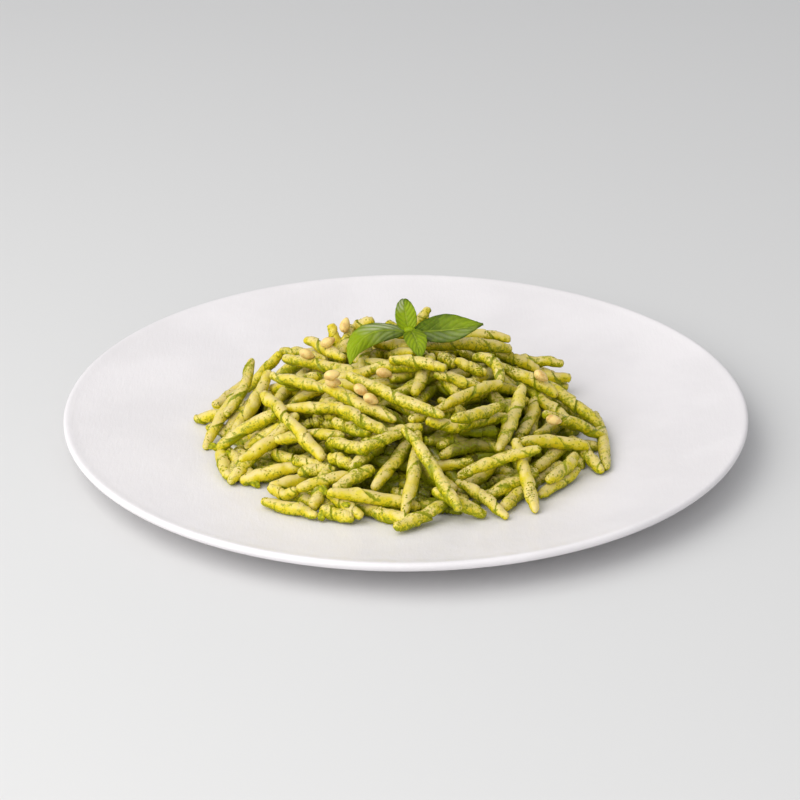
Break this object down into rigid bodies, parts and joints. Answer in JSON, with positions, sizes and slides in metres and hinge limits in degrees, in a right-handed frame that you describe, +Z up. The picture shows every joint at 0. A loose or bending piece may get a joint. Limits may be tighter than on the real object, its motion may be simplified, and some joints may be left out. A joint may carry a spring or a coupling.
{
  "type": "plate of pesto pasta",
  "caption": "Wide shallow rimless plate with a low heap of short twisted pasta coated in green pesto, scattered pine nuts and a basil sprig on top.",
  "frame": {"origin": "centre of the plate's foot ring, on the surface the plate stands on", "axes": "+Z up along the plate's axis; -Y towards the viewer of the picture; +X to the viewer's right"},
  "size_m": [0.31, 0.31, 0.0646],
  "materials": {
    "plate": "satin white glaze",
    "pasta": "moist, oily, flecked with pesto",
    "basil": "fresh leaf, soft sheen",
    "pine_nut": "lightly toasted, waxy"
  },
  "bodies": {
    "root": {"plate": "plate", "pasta_heap": "pasta", "basil_sprig": "basil", "pine_nut_01": "pine_nut", "pine_nut_02": "pine_nut", "pine_nut_03": "pine_nut", "pine_nut_04": "pine_nut", "pine_nut_05": "pine_nut", "pine_nut_06": "pine_nut", "pine_nut_07": "pine_nut", "pine_nut_08": "pine_nut", "pine_nut_09": "pine_nut", "pine_nut_10": "pine_nut"}
  },
  "joints": []
}
